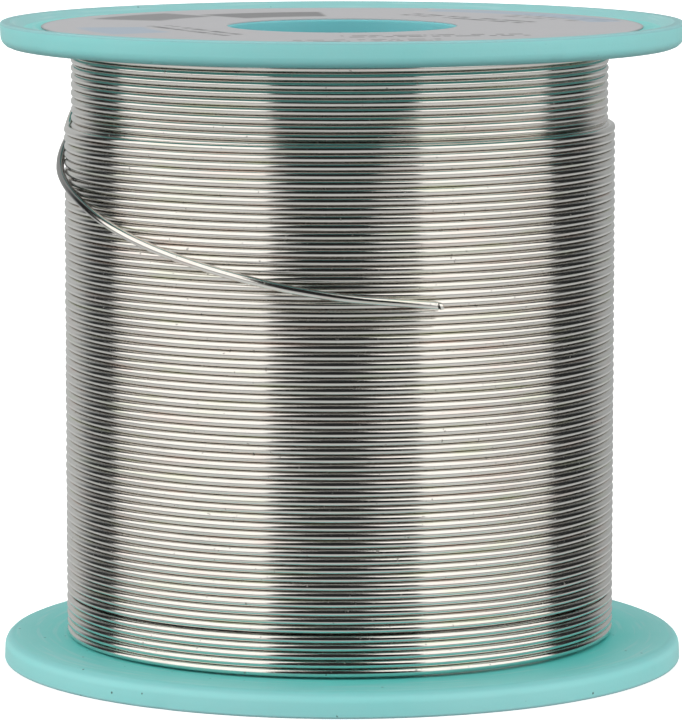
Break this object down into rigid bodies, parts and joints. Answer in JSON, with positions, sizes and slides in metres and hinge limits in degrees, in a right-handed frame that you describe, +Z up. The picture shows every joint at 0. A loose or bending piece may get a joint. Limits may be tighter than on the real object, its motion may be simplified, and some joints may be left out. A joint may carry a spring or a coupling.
{
  "type": "solder wire spool",
  "caption": "Moulded flanged spool with a through bore, wound in close layers with flux-cored solder wire, its free end lying across the turns, and a round label in the upper flange.",
  "frame": {"origin": "middle of the lower flange's outer face, on the bore's axis, at the height that the spool stands on", "axes": "+Z up along the bore, from the lower flange to the labelled upper flange; -Y is the side where the wire's free end is cut"},
  "size_m": [0.067, 0.067, 0.063],
  "materials": {
    "spool_plastic": "moulded satin gloss, slightly translucent",
    "label_paper": "matt coated paper, printed",
    "solder": "bright drawn solder alloy",
    "flux": "amber rosin"
  },
  "bodies": {
    "root": {"lower_spool_half": "spool_plastic", "upper_spool_half": "spool_plastic", "flange_label": "label_paper", "winding_layer_01": "solder", "winding_layer_02": "solder", "winding_layer_03": "solder", "winding_layer_04": "solder", "winding_layer_05": "solder", "winding_layer_06": "solder", "winding_layer_07": "solder", "winding_layer_08": "solder", "winding_layer_09": "solder", "winding_layer_10": "solder", "winding_layer_11": "solder", "winding_layer_12": "solder", "winding_layer_13": "solder", "winding_layer_14": "solder", "wire_start": "solder", "free_end": "solder", "flux_core": "flux"}
  },
  "joints": []
}
